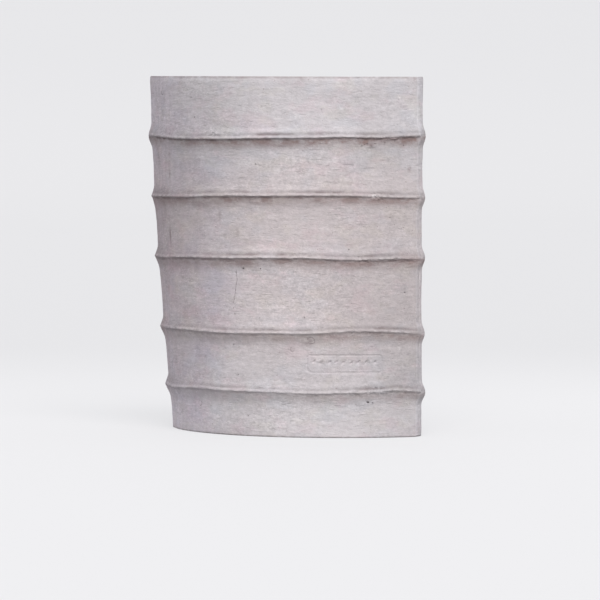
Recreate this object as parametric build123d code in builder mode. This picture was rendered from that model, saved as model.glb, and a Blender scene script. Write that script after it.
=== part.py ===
from build123d import *
import os

# A slip-casting mould for a flattened oval vase: two plaster halves that part on the plane Y = 0,
# a plug under them that forms the foot, and a ring on top that holds the spare slip.
# The frame is in millimetres. The origin is in the middle of the resting face, +Z is up,
# +X points to the upright end and -Y to the front half. The -X end leans out as it rises.

# ---- outside of the mould ----
HEIGHT = 360
RIGHT_REACH = 139.3  # from the origin to the upright end, at the base
RIGHT_LEAN = 1.7  # how much further out the upright end is at the top
LEFT_REACH = 139.2  # from the origin to the leaning end, at the base
LEFT_LEAN = 27.0
LEAN_CURVE = 1.53  # over 1, the leaning end straightens up towards the top
END_LAND = 6.0  # flat end of each half, beside the parting plane
BOW_RATIO = 0.5  # rise of the bowed side over half its chord
CORNER_RADIUS = 5.5
FOOT_BEVEL = 1.5
TOP_BEVEL = 0.6

# ---- ribs around the outside, which keep the straps from slipping ----
RIB_HEIGHTS = (44, 104, 178, 240, 299)
RIB_PROUD = 4.8
RIB_CREST = 1.6  # thickness of the crest
RIB_ABOVE = 8.0  # height of the flare above the crest
RIB_BELOW = 14.0
FLARE_STEPS = (1.0, 0.55, 0.25, 0.0)  # from the foot of a flare to the crest, as shares of its height
FLARE_CURVE = 2.2  # over 1, the flares are hollow

# ---- inside: semi-axes of the oval sections ----
AXIS_X = -6.0  # the vase and its openings are centred here
PLUG_TOP = 36.0
SEAT_HEIGHT = 330.0  # floor of the spare ring's seat
CAVITY = (
    # height, long semi-axis, short semi-axis
    (PLUG_TOP, 72, 30),
    (70, 86, 37),
    (130, 100, 44),
    (230, 88, 42),
    (300, 56, 33),
    (SEAT_HEIGHT, 52, 31),
)
PLUG = ((0, 92, 42), (14, 91.5, 41.5), (18, 95.5, 45.5), (22, 91.2, 41.2), (PLUG_TOP, 90, 40))
FOOT_PAD = ((PLUG_TOP, 62, 22), (PLUG_TOP + 3, 60, 20))
RING = ((SEAT_HEIGHT, 68, 44), (HEIGHT, 72, 48))
POUR_HOLE = ((SEAT_HEIGHT, 46, 26), (345, 48, 28), (HEIGHT, 56, 35))
CLEARANCE = 0.3  # between pieces that come apart

# ---- natches: plastic pegs and cups that register the halves ----
NATCH_RADIUS = 8.0
NATCH_DEPTH = 7.0
NATCH_FLANGE_RADIUS = 9.5  # buried flange that keys the natch into the plaster
NATCH_FLANGE_DEPTH = 2.0
KNOB_RADIUS = 5.5
NATCH_HEIGHTS = {"low": 62, "mid": 178, "top": 312}
NATCH_INSET = 19.0  # from the end of the mould to the natch's axis


def right_reach(z):
    """Distance from the origin to the upright end at height z."""
    return RIGHT_REACH + RIGHT_LEAN * z / HEIGHT


def left_reach(z):
    """Distance from the origin to the leaning end at height z."""
    return LEFT_REACH + LEFT_LEAN * (1 - (1 - z / HEIGHT) ** LEAN_CURVE)


def half_section(z, proud=0.0):
    """The front half's plan at height z: the parting line, two end lands and one bowed side."""
    right = right_reach(z)
    left = -left_reach(z)
    land = -END_LAND
    bow = BOW_RATIO * (right - left) / 2 + proud
    right += proud
    left -= proud
    with BuildSketch(Plane.XY.offset(z)) as section:
        with BuildLine():
            Line((left, 0), (right, 0))
            Line((right, 0), (right, land))
            ThreePointArc((right, land), ((right + left) / 2, land - bow), (left, land))
            Line((left, land), (left, 0))
        make_face()
        corners = section.vertices().group_by(Axis.Y)[0]
        fillet(corners, CORNER_RADIUS)
    return section.sketch


def rib_levels(z):
    """One rib with its crest at z, from below, as (height, how far it stands out of the body)."""
    below = z - RIB_CREST / 2
    above = z + RIB_CREST / 2
    proud = [RIB_PROUD * (1 - step) ** FLARE_CURVE for step in FLARE_STEPS]
    lower_flare = [(below - RIB_BELOW * step, out) for step, out in zip(FLARE_STEPS, proud)]
    upper_flare = [(above + RIB_ABOVE * step, out) for step, out in zip(FLARE_STEPS, proud)]
    return lower_flare + upper_flare[::-1]


def outside_levels():
    """Every level of the outside, as (height, how far it stands out of the plain body)."""
    levels = [(0, -FOOT_BEVEL), (FOOT_BEVEL, 0)]
    for z in RIB_HEIGHTS:
        levels += rib_levels(z)
    return levels + [(HEIGHT - TOP_BEVEL, 0), (HEIGHT, -TOP_BEVEL)]


def ovals(levels, margin=0.0):
    """One oval sketch for each (height, long semi-axis, short semi-axis), widened by a margin."""
    sections = []
    for z, long_axis, short_axis in levels:
        with BuildSketch(Plane((AXIS_X, 0, z))) as section:
            Ellipse(long_axis + margin, short_axis + margin)
        sections.append(section.sketch)
    return sections


def natch_places():
    """Where the natches are on the parting plane, as (name, x, z)."""
    places = []
    for level, z in NATCH_HEIGHTS.items():
        places.append((f"left_{level}", NATCH_INSET - left_reach(z), z))
        places.append((f"right_{level}", right_reach(z) - NATCH_INSET, z))
    return places


def into_front(x, z):
    """A plane on the parting plane whose normal goes into the front half."""
    return Plane(origin=(x, 0, z), x_dir=(1, 0, 0), z_dir=(0, -1, 0))


def into_back(x, z):
    """A plane on the parting plane whose normal goes into the back half."""
    return Plane(origin=(x, 0, z), x_dir=(1, 0, 0), z_dir=(0, 1, 0))


def natch_body(mode=Mode.ADD):
    """The buried part of a natch: a short cylinder with a flange at its far end."""
    on_face = (Align.CENTER, Align.CENTER, Align.MIN)
    far_end = (Align.CENTER, Align.CENTER, Align.MAX)
    Cylinder(NATCH_RADIUS, NATCH_DEPTH, align=on_face, mode=mode)
    with Locations((0, 0, NATCH_DEPTH)):
        Cylinder(NATCH_FLANGE_RADIUS, NATCH_FLANGE_DEPTH, align=far_end, mode=mode)


os.makedirs("parts", exist_ok=True)

# ---- the two plaster halves ----
with BuildPart() as front_half:
    # the ribbed body
    loft(sections=[half_section(z, proud) for z, proud in outside_levels()], ruled=True)
    # the vase, the plug's recess and the ring's seat
    loft(sections=ovals(CAVITY), mode=Mode.SUBTRACT)
    loft(sections=ovals(PLUG, CLEARANCE), ruled=True, mode=Mode.SUBTRACT)
    loft(sections=ovals(RING, CLEARANCE), ruled=True, mode=Mode.SUBTRACT)
    with Locations(*[into_front(x, z) for _, x, z in natch_places()]):
        natch_body(Mode.SUBTRACT)
front_half.part.label = "front_half"
export_step(front_half.part, "parts/front_half.step")

with BuildPart() as back_half:
    mirror(front_half.part, about=Plane.XZ)
back_half.part.label = "back_half"
export_step(back_half.part, "parts/back_half.step")

# ---- the plug under the vase, with a locking ridge around it and a pad that hollows the foot ----
with BuildPart() as base_plug:
    loft(sections=ovals(PLUG), ruled=True)
    loft(sections=ovals(FOOT_PAD), ruled=True)
base_plug.part.label = "base_plug"
export_step(base_plug.part, "parts/base_plug.step")

# ---- the ring that holds the spare slip above the vase's mouth ----
with BuildPart() as spare_ring:
    loft(sections=ovals(RING), ruled=True)
    loft(sections=ovals(POUR_HOLE), ruled=True, mode=Mode.SUBTRACT)
spare_ring.part.label = "spare_ring"
export_step(spare_ring.part, "parts/spare_ring.step")

# ---- natch pegs in the front half and natch cups in the back half ----
for name, x, z in natch_places():
    with BuildPart(into_front(x, z)) as natch_peg:
        natch_body()
        Sphere(KNOB_RADIUS)
    natch_peg.part.label = f"natch_peg_{name}"
    export_step(natch_peg.part, f"parts/natch_peg_{name}.step")

    with BuildPart(into_back(x, z)) as natch_cup:
        natch_body()
        Sphere(KNOB_RADIUS + CLEARANCE, mode=Mode.SUBTRACT)
    natch_cup.part.label = f"natch_cup_{name}"
    export_step(natch_cup.part, f"parts/natch_cup_{name}.step")
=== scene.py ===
import math
import random

import bmesh
import bpy
import numpy as np
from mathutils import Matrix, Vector, geometry, noise


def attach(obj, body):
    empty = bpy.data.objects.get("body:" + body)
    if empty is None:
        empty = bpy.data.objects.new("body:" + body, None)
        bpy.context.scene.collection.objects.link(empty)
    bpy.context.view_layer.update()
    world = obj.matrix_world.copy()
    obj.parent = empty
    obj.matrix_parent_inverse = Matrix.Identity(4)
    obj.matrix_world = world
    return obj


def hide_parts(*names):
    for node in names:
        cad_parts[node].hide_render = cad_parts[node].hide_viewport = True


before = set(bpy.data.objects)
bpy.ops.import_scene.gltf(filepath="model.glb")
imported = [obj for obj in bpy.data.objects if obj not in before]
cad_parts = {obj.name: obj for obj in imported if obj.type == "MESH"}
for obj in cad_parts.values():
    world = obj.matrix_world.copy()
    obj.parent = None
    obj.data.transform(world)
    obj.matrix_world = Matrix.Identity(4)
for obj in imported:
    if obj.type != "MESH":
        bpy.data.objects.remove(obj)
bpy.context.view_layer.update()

# A plaster mould for a flattened oval vase. Lengths are in millimetres until a mesh is made,
# and MM turns them into Blender's metres. "Share" runs along a half's bowed side, from 0 at the
# leaning end (-X) to 1 at the upright end (+X).
MM = 0.001

# ---- outside, as in the CAD model ----
HEIGHT = 360.0
RIGHT_REACH, RIGHT_LEAN = 139.3, 1.7
LEFT_REACH, LEFT_LEAN, LEAN_CURVE = 139.2, 27.0, 1.53
END_LAND = 6.0  # flat end of each half, beside the parting plane
BOW_RATIO = 0.5  # rise of the bowed side over half its chord
SIDE_LENGTH = 340.0  # of the bowed side, about
AXIS_X = -6.0  # the vase and its openings are centred here

# ---- the hand-made ribs ----
WAVE_STATIONS = (0, 0.12, 0.25, 0.4, 0.55, 0.7, 0.78, 0.86, 0.95, 1)
RIBS = (
    # height; how proud it is at the leaning end, in the middle and at the upright end; how sharply
    # its crest is folded; how far it swells out round at the leaning end; the wave of its crest
    (44, (4.3, 4.2, 3.7), 0.48, 0.5, (0.9, -0.3, 1.6, 1.4, 1.4, 0.6, 1.3, 2.0, 3.2, 1.4)),
    (104, (4.2, 4.0, 3.2), 0.60, 0.4, (0.0, 0.0, 0.1, -0.8, 0.0, 0.6, 2.4, 2.5, 0.9, -0.4)),
    (178, (3.8, 4.2, 3.3), 0.80, 0.3, (-2.0, -2.1, -0.3, 0.2, 1.2, 1.1, -0.2, -0.2, 0.7, 0.2)),
    (240, (3.2, 4.1, 2.8), 0.88, 0.2, (-3.0, -2.2, -1.7, 0.5, 1.1, 1.6, 1.5, 0.8, -0.6, -0.8)),
    (299, (3.0, 4.1, 3.0), 1.00, 1.0, (0.1, -0.2, -1.7, -1.6, -0.5, 0.1, 0.8, 0.1, 1.1, 1.9)),
)
LEVELS = (0.0, *(rib[0] for rib in RIBS), HEIGHT)  # what bounds the tiers
# how light each tier is at the tone stations, from the foot up
TONE_STATIONS = (0.12, 0.25, 0.42, 0.55, 0.75, 0.95)
TIER_TONES = (
    (1.15, 1.06, 0.99, 1.00, 0.93, 0.85),
    (0.95, 0.95, 1.00, 0.95, 0.93, 0.73),
    (0.93, 0.89, 1.00, 0.99, 0.89, 0.77),
    (0.80, 0.86, 0.92, 0.98, 0.88, 0.84),
    (0.91, 0.85, 0.91, 0.96, 0.91, 0.86),
    (1.01, 0.94, 0.93, 1.04, 0.99, 0.94),
)
# height of the rim above its nominal height, at the wave stations
RIM_WAVE = (-0.05, -0.1, -0.2, -0.4, -0.6, -0.85, -0.8, -0.7, -0.95, -0.8)
RIB_ABOVE, RIB_BELOW = 12.0, 13.0  # height of the flares above and below a crest
SWELL_REACH, MORE_REACH = 12.0, 3.5  # height of a round swelling, and how much more a full one has
MOST_PROUD = 4.7  # so that no rib stands out past the CAD model's
# how far the upright end has crept out, from the foot up
CREEP_HEIGHTS = (0, 22, 44, 74, 104, 141, 178, 209, 240, 270, 299, 330, 360)
CREEP = (0.4, 1.2, 1.0, 1.4, 0.2, 0.7, 0.3, 0.45, 0.6, 1.0, 0.6, 0.75, 0.85)
# how far a rib stands out above its crest, as (height above the crest, share): one plain flare, and
# one that is hollow between a soft shoulder and a thin lip along the crest
FLARE_HEIGHTS = (0, 0.6, 1.3, 2.2, 3.5, 5.0, 6.5, 8.5, 10.5, 12)
PLAIN_FLARE = (1.0, 0.95, 0.86, 0.74, 0.58, 0.42, 0.28, 0.13, 0.03, 0)
HOLLOW_FLARE = (1.0, 0.95, 0.70, 0.50, 0.43, 0.42, 0.34, 0.15, 0.03, 0)
# how hollow each flare is at the wave stations, from the lowest rib up
HOLLOWS = (
    (0.0, 0.1, 0.2, 0.6, 0.4, 0.4, 0.7, 1.0, 1.0, 0.3),
    (0.0, 0.1, 0.3, 0.6, 0.7, 0.8, 0.7, 1.0, 0.9, 0.3),
    (0.0, 0.2, 0.2, 0.6, 0.8, 0.8, 0.7, 0.9, 0.5, 0.1),
    (0.1, 0.4, 0.3, 0.7, 0.6, 1.0, 1.0, 0.8, 0.5, 0.2),
    (0.0, 0.0, 0.2, 0.7, 1.0, 0.9, 0.8, 0.8, 0.7, 0.3),
)
# share of a rib that is cut back just under its crest: at the leaning end, in the middle and at
# the upright end
UNDERCUT = (0.32, 0.38, 0.42)
# how much stain and painted shade darken the wall under each rib at three shares, from the lowest rib up
SHADE_AND_STAIN_STATIONS = (0.1, 0.5, 0.9)
RIB_SHADE_AND_STAIN = ((0.0, 0.15, 0.5), (0.1, 0.5, 0.75), (0.5, 1.0, 1.0), (0.7, 1.15, 1.0), (0.75, 1.15, 1.45))
# rise of each crest across the upright end of the back half
BACK_RISE = (-0.8, 0.0, 1.6, 0.0, 0.0)
TIER_HOLLOW = 0.6  # how far the middle of each tier sinks in
FOOT_ROUND, TOP_ROUND = 1.2, 0.7  # radii of the worn edges
# broken or lumpy lengths of rib: rib number from below, middle and length as shares, height of the
# lumps, and how far above the crest they are
ROUGH_PATCHES = (
    (4, 0.06, 0.03, 0.7, -0.5),
    (4, 0.15, 0.02, 1.4, 5.0),
    (4, 0.39, 0.025, 2.2, 4.0),
    (4, 0.93, 0.06, 1.2, -1.5),
    (3, 0.88, 0.02, 1.4, 0.5),
    (3, 0.13, 0.02, 1.3, 6.0),
    (3, 0.12, 0.06, 0.6, -0.5),
    (2, 0.63, 0.02, 1.2, -0.5),
    (2, 0.84, 0.03, 1.0, 0.0),
    (2, 0.93, 0.04, 1.2, -1.0),
    (1, 0.17, 0.015, 1.0, 5.0),
    (1, 0.80, 0.02, 0.8, 2.0),
    (0, 0.88, 0.07, 0.9, 1.5),
)

# ---- the grid of the outside: how far apart its columns and rows are ----
CORNER_STEP, SIDE_STEP, PANEL_STEP = 0.9, 1.55, 0.6
CREST_STEP, TIER_STEP = 0.4, 3.0

# ---- the impressed panel between the two lowest ribs ----
PANEL_SHARES = (0.664, 0.889)
PANEL_HEIGHTS = (65.2, 82.4)
PANEL_SIDE_LENGTH = 333.0  # of the bowed side at the panel's height, about
PANEL_CORNER = 3.0
PANEL_DIMPLES = 9

# ---- inside, as in the CAD model: height, long semi-axis, short semi-axis ----
CAVITY = ((36, 72, 30), (70, 86, 37), (130, 100, 44), (230, 88, 42), (300, 56, 33), (330, 52, 31))
PLUG_TOP, SEAT_HEIGHT = 36.0, 330.0
PLUG = ((0, 92, 42), (14, 91.5, 41.5), (18, 95.5, 45.5), (22, 91.2, 41.2), (PLUG_TOP, 90, 40))
FOOT_PAD = ((PLUG_TOP, 62, 22), (PLUG_TOP + 3, 60, 20))
RING_TOP = 358.4  # the ring's rim has been scraped a little below the mould's
RING = ((SEAT_HEIGHT, 68, 44), (RING_TOP, 71.8, 47.8))
POUR_HOLE = ((SEAT_HEIGHT, 46, 26), (345, 48, 28), (RING_TOP, 55.4, 34.3))
SEAT = ((SEAT_HEIGHT, 68, 44), (HEIGHT, 72, 48), (HEIGHT + 5, 72.7, 48.6))  # cut past the top face
CLEARANCE = 0.3  # between pieces that come apart

# ---- natches, as in the CAD model ----
NATCH_RADIUS, NATCH_DEPTH, FLANGE_RADIUS, FLANGE_DEPTH = 8.0, 7.0, 9.5, 2.0
KNOB_RADIUS = 5.5
NATCH_INSET = 19.0  # from the end of the mould to the natch's axis
NATCH_HEIGHTS = {"low": 62, "mid": 178, "top": 312}


# ================================ curves and noise ================================


def flowing(stations, values, at):
    """A smooth curve through the values, at any places between the stations."""
    stations = np.asarray(stations, float)
    values = np.asarray(values, float)
    slopes = np.gradient(values, stations)
    i = np.clip(np.searchsorted(stations, at) - 1, 0, len(stations) - 2)
    gap = stations[i + 1] - stations[i]
    t = (at - stations[i]) / gap
    start = (2 * t**3 - 3 * t**2 + 1) * values[i] + (t**3 - 2 * t**2 + t) * gap * slopes[i]
    end = (3 * t**2 - 2 * t**3) * values[i + 1] + (t**3 - t**2) * gap * slopes[i + 1]
    return start + end


def peak(value, middle, width):
    """A smooth peak: 1 where the value is at the middle, and nearly 0 twice the width away."""
    return np.exp(-(((value - middle) / width) ** 2))


def lumps(points, size, octaves=3, seed=0.0, flatten=1.0):
    """Fractal noise between about -1 and 1 at points of any array shape (..., 3), of that grain size."""
    flat = points.reshape(-1, 3) / size
    flat = flat * (1, 1, flatten) + seed
    values = [noise.fractal(p, 0.9, 2.1, octaves) for p in flat]
    return np.array(values).reshape(points.shape[:-1])


def right_reach(z):
    """Distance from the origin to the upright end at height z."""
    return RIGHT_REACH + RIGHT_LEAN * z / HEIGHT


def left_reach(z):
    """Distance from the origin to the leaning end at height z."""
    return LEFT_REACH + LEFT_LEAN * (1 - (1 - np.clip(z / HEIGHT, 0, 1)) ** LEAN_CURVE)


def lens(z):
    """The plain plan at height z: its middle, half its chord, its bow, and the radius of its side."""
    right, left = right_reach(z), -left_reach(z)
    half_chord = (right - left) / 2
    bow = BOW_RATIO * half_chord
    return (right + left) / 2, half_chord, bow, (half_chord**2 + bow**2) / (2 * bow)


def on_side(share, z):
    """The x and y of the front half's plain bowed side, at that share and height."""
    middle, half_chord, bow, radius = lens(z)
    angle = np.arcsin(half_chord / radius) * (2 * share - 1)
    return middle + radius * np.sin(angle), -END_LAND - bow + radius * (1 - np.cos(angle))


def on_outside(share, z, back=False):
    """The point of a half's plain bowed side at that share and height."""
    x, y = on_side(share, z)
    return np.array((x, -y if back else y, z))


# ================================ mesh helpers ================================


def make_object(name, vertices, faces):
    """A mesh object from points in millimetres."""
    mesh = bpy.data.meshes.new(name)
    mesh.from_pydata((np.asarray(vertices) * MM).tolist(), [], faces)
    made = bpy.data.objects.new(name, mesh)
    bpy.context.scene.collection.objects.link(made)
    return made


def grid_faces(rows, columns, wrap=False):
    """Quads of a grid of points stored row by row. A wrapped grid joins its last column to its first."""
    faces = []
    for row in range(rows - 1):
        for column in range(columns if wrap else columns - 1):
            right = (column + 1) % columns
            here, there = row * columns, (row + 1) * columns
            faces.append((here + column, here + right, there + right, there + column))
    return faces


def tidy(thing, smooth_angle=35):
    """Outward normals, and smooth shading except across edges sharper than the angle."""
    work = bmesh.new()
    work.from_mesh(thing.data)
    bmesh.ops.remove_doubles(work, verts=work.verts, dist=0.002 * MM)
    bmesh.ops.recalc_face_normals(work, faces=work.faces)
    work.to_mesh(thing.data)
    work.free()
    thing.data.polygons.foreach_set("use_smooth", [True] * len(thing.data.polygons))
    thing.data.set_sharp_from_angle(angle=math.radians(smooth_angle))


def oval_rings(name, rings, segments=128, centre=AXIS_X, closed=False):
    """A body through oval rings of (height, long semi-axis, short semi-axis), capped or closed on itself."""
    angles = np.linspace(0, 2 * math.pi, segments, endpoint=False)
    rings = list(rings) + ([rings[0]] if closed else [])
    points = [
        np.stack([centre + a * np.cos(angles), b * np.sin(angles), np.full(segments, z)], 1)
        for z, a, b in rings
    ]
    faces = grid_faces(len(rings), segments, wrap=True)
    if not closed:
        last = (len(rings) - 1) * segments
        faces.append(tuple(range(segments)))
        faces.append(tuple(range(last, last + segments)))
    made = make_object(name, np.concatenate(points), faces)
    tidy(made)
    return made


def lathe(name, profile, x, z, direction, segments=48):
    """A body of revolution on the parting plane. The profile is (radius, depth), from pole to pole."""
    angles = np.linspace(0, 2 * math.pi, segments, endpoint=False)
    points = []
    for radius, depth in profile:
        along_x = x + radius * np.cos(angles)
        along_z = z + radius * np.sin(angles)
        points.append(np.stack([along_x, np.full(segments, direction * depth), along_z], 1))
    made = make_object(name, np.concatenate(points), grid_faces(len(profile), segments, wrap=True))
    tidy(made)
    return made


# ================================ outside of a half ================================


def columns():
    """Stations along a half's outside: share of the bowed side, and distance from the parting plane."""
    land = [0, 0.35, 0.9, 1.8, 3.0, 4.2, 5.2]
    shares, place = [0.0], 0.0
    panel_start, panel_end = (s * SIDE_LENGTH for s in PANEL_SHARES)
    while place < SIDE_LENGTH:
        from_end = min(place, SIDE_LENGTH - place)
        step = CORNER_STEP if from_end < 5 else SIDE_STEP
        if panel_start - 2 < place < panel_end + 1:
            step = PANEL_STEP
        place += step
        shares.append(min(place / SIDE_LENGTH, 1.0))
    count = len(land)
    share = np.array([0.0] * count + shares + [1.0] * count)
    depth = np.array(land + [END_LAND] * len(shares) + land[::-1])
    return share, depth


def rows():
    """Heights of the grid's rows, close together at the ribs, the edges and the panel."""
    heights, z = [0.0], 0.0
    while z < HEIGHT - 0.2:
        to_rib = min(abs(z - rib[0]) for rib in RIBS)
        step = min(CREST_STEP + 0.17 * max(to_rib - 2.2, 0), TIER_STEP)
        if PANEL_HEIGHTS[0] - 5 < z < PANEL_HEIGHTS[1] + 1.5:
            step = min(step, PANEL_STEP)
        if min(z, HEIGHT - z) < 2.2:
            step = CREST_STEP
        z += step
        heights.append(min(z, HEIGHT))
    return np.array(heights)


def crest_waves(share, back):
    """Height of each crest, and of the rim, above its nominal height, along the outside."""
    waves = []
    for number, (*_, wave) in enumerate(RIBS):
        if back:
            ends = wave[0] + (wave[-1] - wave[0]) * share
            wander = [noise.noise((7.0 * s, 3.1 * number, 5.0)) for s in share]
            waves.append(ends + 2.2 * np.sin(math.pi * share) * np.array(wander))
        else:
            waves.append(flowing(WAVE_STATIONS, wave, share))
    rim = flowing(WAVE_STATIONS, RIM_WAVE, share) - (0.1 * np.sin(math.pi * share) if back else 0)
    return waves + [rim]


def wandering_heights(z0, share, depth, back):
    """Heights of the grid's points: the crests wander, and the rows go with them."""
    waves = [0 * share] + crest_waves(share, back)
    if back:
        across = (share > 0.5) * peak(share, 1, 0.05) * depth / END_LAND
        for number, rise in enumerate(BACK_RISE):
            waves[number + 1] = waves[number + 1] + rise * across
    z = z0.copy()
    for column in range(z.shape[1]):
        z[:, column] += np.interp(z0[:, column], LEVELS, [wave[column] for wave in waves])
    return z


def plain_plan(share, depth, z):
    """The x and y of the grid's points without ribs: end lands, worn corners and the bowed side."""
    x, y = on_side(share, z)
    at_end = depth < END_LAND
    x = np.where(at_end, np.where(share < 0.5, -left_reach(z), right_reach(z)), x)
    y = np.where(at_end, -depth, y)
    near_corner = np.minimum(share, 1 - share)[0] * SIDE_LENGTH < 4.5
    near_corner[[0, -1]] = False
    for _ in range(10):
        for values in (x, y):
            blurred = (values[:, :-2] + 2 * values[:, 1:-1] + values[:, 2:]) / 4
            values[:, 1:-1] = np.where(near_corner[1:-1], blurred, values[:, 1:-1])
    y[:, [0, -1]] = 0
    return x, y


def outward(x, y):
    """The outward direction in plan at each of the grid's points."""
    along_x = np.gradient(x, axis=1)
    along_y = np.gradient(y, axis=1)
    length = np.hypot(along_x, along_y)
    out_x, out_y = along_y / length, -along_x / length
    out_x[:, 0], out_x[:, -1] = -1, 1
    out_y[:, [0, -1]] = 0
    return out_x, out_y


def rib_shape(above, share, sharp, hollow):
    """How far a folded rib stands out at a distance above its crest, as a share of how proud it is."""
    up = np.clip(above, 0, RIB_ABOVE)
    down = np.clip(-above, 0, RIB_BELOW)
    plain = flowing(FLARE_HEIGHTS, PLAIN_FLARE, up)
    upper = (1 - hollow) * plain + hollow * flowing(FLARE_HEIGHTS, HOLLOW_FLARE, up)
    undercut = flowing((0, 0.5, 1), UNDERCUT, share) * sharp**1.6
    lower = (1 - undercut) * (1 - down / RIB_BELOW) ** 1.4
    lower += undercut * peak(down, 0, 1.2)
    return np.where(above >= 0, upper, lower)


def swelling(share, depth, swell, back):
    """How much of a rib is a plain round swelling: all of it at the end lands, less along the front."""
    at_leaning = (1.0 if back else swell) * peak(share, 0, 0.04 if back or swell == 1 else 0.015)
    at_upright = (1.0 if back else 0.3) * peak(share, 1, 0.04 if back else 0.012)
    on_upright_land = (share > 0.5) * np.clip((END_LAND - depth) / 1.5, 0, 1)
    return np.maximum(np.maximum(at_leaning, at_upright), on_upright_land)


def raggedness(number, above, share, back):
    """Height of the lumps along a rib: low everywhere under its crest, and more in its rough patches."""
    ragged = 0.35 * peak(above, -2.2, 2.2)
    for rib, middle, length, height, up in ROUGH_PATCHES:
        if rib == number and not back:
            ragged = ragged + height * peak(share, middle, length) * peak(above, up, 3.0)
    return ragged


def rib_proud(number, share, depth, z0, plain, seed, back):
    """How far one rib stands out of the plain body."""
    rib_height, proud, sharp, swell, _ = RIBS[number]
    level = plain * (1, 1, 0)
    amount = flowing((0, 0.5, 1), proud, share)
    amount = amount * (1 + 0.10 * lumps(level, 24, 2, seed + rib_height))
    above = z0 - rib_height + 0.35 * lumps(level, 7, 2, seed + 2 * rib_height)
    uneven = np.clip(1 + 0.8 * lumps(level, 38, 2, seed + 3 * rib_height), 0.4, 1.2)
    hollow = uneven * np.interp(share, WAVE_STATIONS, HOLLOWS[number])
    rib = amount * rib_shape(above, share, sharp, hollow)
    reach = np.where(above > -1, SWELL_REACH + MORE_REACH * swell, SWELL_REACH)
    round_rib = 0.5 + 0.5 * np.cos(math.pi * np.clip((above + 1) / reach, -1, 1))
    rib += swelling(share, depth, swell, back) * (amount * round_rib - rib)
    rib += raggedness(number, above, share, back) * lumps(plain, 2.6, 2, seed)
    return np.minimum(rib, MOST_PROUD)


def rounded_off(from_edge, radius):
    """How far an edge's rounding cuts in, at a distance from the edge."""
    left = np.clip(radius - from_edge, 0, radius)
    return radius - np.sqrt(radius**2 - left**2 + 1e-9)


def half_skin(back):
    """The outside of a half as a grid of points, row by row."""
    share, depth = columns()
    z0 = rows()[:, None] + 0 * share
    z = wandering_heights(z0, share, depth, back)
    share = share + 0 * z0
    x, y = plain_plan(share, depth, z)
    out_x, out_y = outward(x, y)
    x += flowing(CREEP_HEIGHTS, CREEP, z0) * np.clip(x / RIGHT_REACH, 0, 1) ** 3

    seed = 40.0 if back else 0.0
    plain = np.stack([x, y, z], -1)
    out = 0.30 * lumps(plain, 42, 3, seed, flatten=1.6) + 0.10 * lumps(plain, 9, 2, seed, flatten=2.2)
    for low, high in zip(LEVELS, LEVELS[1:]):
        inside = np.clip((z0 - low) / (high - low), 0, 1)
        out -= TIER_HOLLOW * np.sin(math.pi * inside) ** 2
    for number in range(len(RIBS)):
        out += rib_proud(number, share, depth, z0, plain, seed, back)
    out -= rounded_off(z0, FOOT_ROUND) + rounded_off(HEIGHT - z0, TOP_ROUND)
    out -= (0.45 + 0.25 * lumps(plain, 6, 2, seed)) * peak(depth, 0, 0.55)
    if not back:
        out -= panel_depth(share, z)

    points = np.stack([x + out_x * out, y + out_y * out, z], -1)
    points[:, [0, -1], 1] = 0
    if back:
        points[..., 1] *= -1
    return points


def panel_depth(share, z):
    """Depth of the impressed panel: a rounded frame line round a shallow field with a row of dimples."""
    along = (share - sum(PANEL_SHARES) / 2) * PANEL_SIDE_LENGTH
    up = z - sum(PANEL_HEIGHTS) / 2
    half_width = (PANEL_SHARES[1] - PANEL_SHARES[0]) * PANEL_SIDE_LENGTH / 2
    half_height = (PANEL_HEIGHTS[1] - PANEL_HEIGHTS[0]) / 2
    over_x = np.abs(along) - half_width + PANEL_CORNER
    over_z = np.abs(up) - half_height + PANEL_CORNER
    outside = np.hypot(np.maximum(over_x, 0), np.maximum(over_z, 0))
    distance = outside + np.minimum(np.maximum(over_x, over_z), 0) - PANEL_CORNER
    depth = 0.45 * peak(distance, 0, 0.75) + 0.18 / (1 + np.exp(np.clip(distance / 0.25, -30, 30)))
    chance = random.Random(8)
    pitch = 2 * half_width / (PANEL_DIMPLES + 1)
    for number in range(PANEL_DIMPLES):
        middle = (number - (PANEL_DIMPLES - 1) / 2) * pitch + chance.uniform(-1, 1)
        height, size = 1.8 + chance.uniform(-0.8, 0.8), chance.uniform(1.1, 1.7)
        slanted = along - middle - 0.6 * (up - height)
        away = np.hypot(slanted / size, (up - height) / (size * 1.2))
        depth += chance.uniform(1.1, 1.5) * peak(away, 0, 1)
    return depth


def fill_parting_face(work):
    """Closes a half with flat triangles on the parting plane."""
    edges = [edge for edge in work.edges if edge.is_boundary]
    corners = list({vertex for edge in edges for vertex in edge.verts})
    place = {vertex: number for number, vertex in enumerate(corners)}
    flat = [Vector((vertex.co.x / MM, vertex.co.z / MM)) for vertex in corners]
    joined = [(place[edge.verts[0]], place[edge.verts[1]]) for edge in edges]
    _, _, triangles, origins, _, _ = geometry.delaunay_2d_cdt(flat, joined, [], 1, 1e-5)
    for triangle in triangles:
        work.faces.new([corners[origins[number][0]] for number in triangle])


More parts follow.
